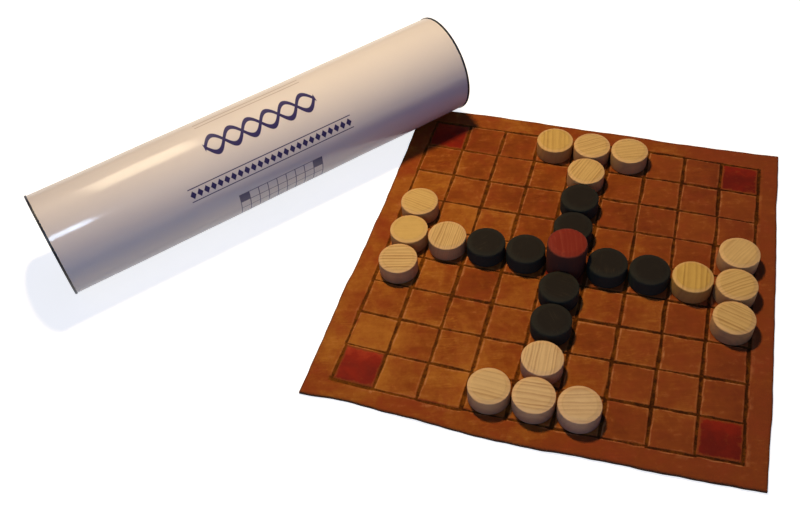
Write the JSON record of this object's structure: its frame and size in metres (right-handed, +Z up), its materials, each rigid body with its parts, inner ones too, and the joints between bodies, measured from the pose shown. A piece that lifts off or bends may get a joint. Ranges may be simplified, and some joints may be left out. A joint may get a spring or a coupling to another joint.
{
  "type": "hnefatafl board",
  "caption": "Hnefatafl game set: a tooled leather board with sliding wooden men and a taller king, and the capped card tube that it is kept in.",
  "frame": {"origin": "middle of the tooled grid, on the board's underside", "axes": "+X along the near edge to the right, +Y away from the near edge, +Z up"},
  "size_m": [0.4753, 0.2997, 0.0723],
  "materials": {
    "leather": "mottled, tooled, satin",
    "red_dye": "dyed, satin",
    "pale_wood": "plain, smooth, bare",
    "black_wood": "stained, satin",
    "red_wood": "stained, satin",
    "card": "spiral-wound, matt",
    "wrap_paper": "gloss",
    "cap_plastic": "moulded, satin"
  },
  "bodies": {
    "board": {"board": "leather", "dyed_squares": "red_dye"},
    "attacker_d1": {"attacker_d1": "pale_wood"},
    "attacker_e1": {"attacker_e1": "pale_wood"},
    "attacker_f1": {"attacker_f1": "pale_wood"},
    "attacker_e2": {"attacker_e2": "pale_wood"},
    "attacker_a4": {"attacker_a4": "pale_wood"},
    "attacker_a5": {"attacker_a5": "pale_wood"},
    "attacker_a6": {"attacker_a6": "pale_wood"},
    "attacker_b5": {"attacker_b5": "pale_wood"},
    "attacker_i4": {"attacker_i4": "pale_wood"},
    "attacker_i5": {"attacker_i5": "pale_wood"},
    "attacker_i6": {"attacker_i6": "pale_wood"},
    "attacker_h5": {"attacker_h5": "pale_wood"},
    "attacker_d9": {"attacker_d9": "pale_wood"},
    "attacker_e9": {"attacker_e9": "pale_wood"},
    "attacker_f9": {"attacker_f9": "pale_wood"},
    "attacker_e8": {"attacker_e8": "pale_wood"},
    "defender_e3": {"defender_e3": "black_wood"},
    "defender_e4": {"defender_e4": "black_wood"},
    "defender_e6": {"defender_e6": "black_wood"},
    "defender_e7": {"defender_e7": "black_wood"},
    "defender_c5": {"defender_c5": "black_wood"},
    "defender_d5": {"defender_d5": "black_wood"},
    "defender_f5": {"defender_f5": "black_wood"},
    "defender_g5": {"defender_g5": "black_wood"},
    "king": {"king": "red_wood"},
    "tube": {"tube_card": "card", "tube_wrap": "wrap_paper"},
    "left_cap": {"left_cap": "cap_plastic"},
    "right_cap": {"right_cap": "cap_plastic"}
  },
  "joints": [
    {"name": "attacker_d1_slide", "type": "slide", "parent": "board", "child": "attacker_d1", "axis": [-1, 0, 0], "range_m": [0, 0.052]},
    {"name": "attacker_e1_lift", "type": "slide", "parent": "board", "child": "attacker_e1", "axis": [0, 0, 1], "range_m": [0, 0.04]},
    {"name": "attacker_f1_slide", "type": "slide", "parent": "board", "child": "attacker_f1", "axis": [-1, 0, 0], "range_m": [-0.052, 0]},
    {"name": "attacker_e2_slide", "type": "slide", "parent": "board", "child": "attacker_e2", "axis": [-1, 0, 0], "range_m": [-0.104, 0.104]},
    {"name": "attacker_a4_slide", "type": "slide", "parent": "board", "child": "attacker_a4", "axis": [0, 1, 0], "range_m": [-0.052, 0]},
    {"name": "attacker_a5_lift", "type": "slide", "parent": "board", "child": "attacker_a5", "axis": [0, 0, 1], "range_m": [0, 0.04]},
    {"name": "attacker_a6_slide", "type": "slide", "parent": "board", "child": "attacker_a6", "axis": [0, 1, 0], "range_m": [0, 0.052]},
    {"name": "attacker_b5_slide", "type": "slide", "parent": "board", "child": "attacker_b5", "axis": [0, 1, 0], "range_m": [-0.104, 0.104]},
    {"name": "attacker_i4_slide", "type": "slide", "parent": "board", "child": "attacker_i4", "axis": [0, -1, 0], "range_m": [0, 0.052]},
    {"name": "attacker_i5_lift", "type": "slide", "parent": "board", "child": "attacker_i5", "axis": [0, 0, 1], "range_m": [0, 0.04]},
    {"name": "attacker_i6_slide", "type": "slide", "parent": "board", "child": "attacker_i6", "axis": [0, -1, 0], "range_m": [-0.052, 0]},
    {"name": "attacker_h5_slide", "type": "slide", "parent": "board", "child": "attacker_h5", "axis": [0, -1, 0], "range_m": [-0.104, 0.104]},
    {"name": "attacker_d9_slide", "type": "slide", "parent": "board", "child": "attacker_d9", "axis": [1, 0, 0], "range_m": [-0.052, 0]},
    {"name": "attacker_e9_lift", "type": "slide", "parent": "board", "child": "attacker_e9", "axis": [0, 0, 1], "range_m": [0, 0.04]},
    {"name": "attacker_f9_slide", "type": "slide", "parent": "board", "child": "attacker_f9", "axis": [1, 0, 0], "range_m": [0, 0.052]},
    {"name": "attacker_e8_slide", "type": "slide", "parent": "board", "child": "attacker_e8", "axis": [1, 0, 0], "range_m": [-0.104, 0.104]},
    {"name": "defender_e3_slide", "type": "slide", "parent": "board", "child": "defender_e3", "axis": [-1, 0, 0], "range_m": [-0.104, 0.104]},
    {"name": "defender_e4_slide", "type": "slide", "parent": "board", "child": "defender_e4", "axis": [-1, 0, 0], "range_m": [-0.078, 0.078]},
    {"name": "defender_e6_slide", "type": "slide", "parent": "board", "child": "defender_e6", "axis": [1, 0, 0], "range_m": [-0.078, 0.078]},
    {"name": "defender_e7_slide", "type": "slide", "parent": "board", "child": "defender_e7", "axis": [1, 0, 0], "range_m": [-0.104, 0.104]},
    {"name": "defender_c5_slide", "type": "slide", "parent": "board", "child": "defender_c5", "axis": [0, 1, 0], "range_m": [-0.104, 0.104]},
    {"name": "defender_d5_slide", "type": "slide", "parent": "board", "child": "defender_d5", "axis": [0, 1, 0], "range_m": [-0.078, 0.078]},
    {"name": "defender_f5_slide", "type": "slide", "parent": "board", "child": "defender_f5", "axis": [0, -1, 0], "range_m": [-0.078, 0.078]},
    {"name": "defender_g5_slide", "type": "slide", "parent": "board", "child": "defender_g5", "axis": [0, -1, 0], "range_m": [-0.104, 0.104]},
    {"name": "king_lift", "type": "slide", "parent": "board", "child": "king", "axis": [0, 0, 1], "range_m": [0, 0.05]},
    {"name": "tube_lift", "type": "slide", "parent": "board", "child": "tube", "axis": [0, 0, 1], "range_m": [0, 0.1]},
    {"name": "left_cap_pull", "type": "slide", "parent": "tube", "child": "left_cap", "axis": [-0.6639, -0.7478, -0.0067], "range_m": [0, 0.03]},
    {"name": "right_cap_pull", "type": "slide", "parent": "tube", "child": "right_cap", "axis": [0.6639, 0.7478, 0.0067], "range_m": [0, 0.03]}
  ]
}
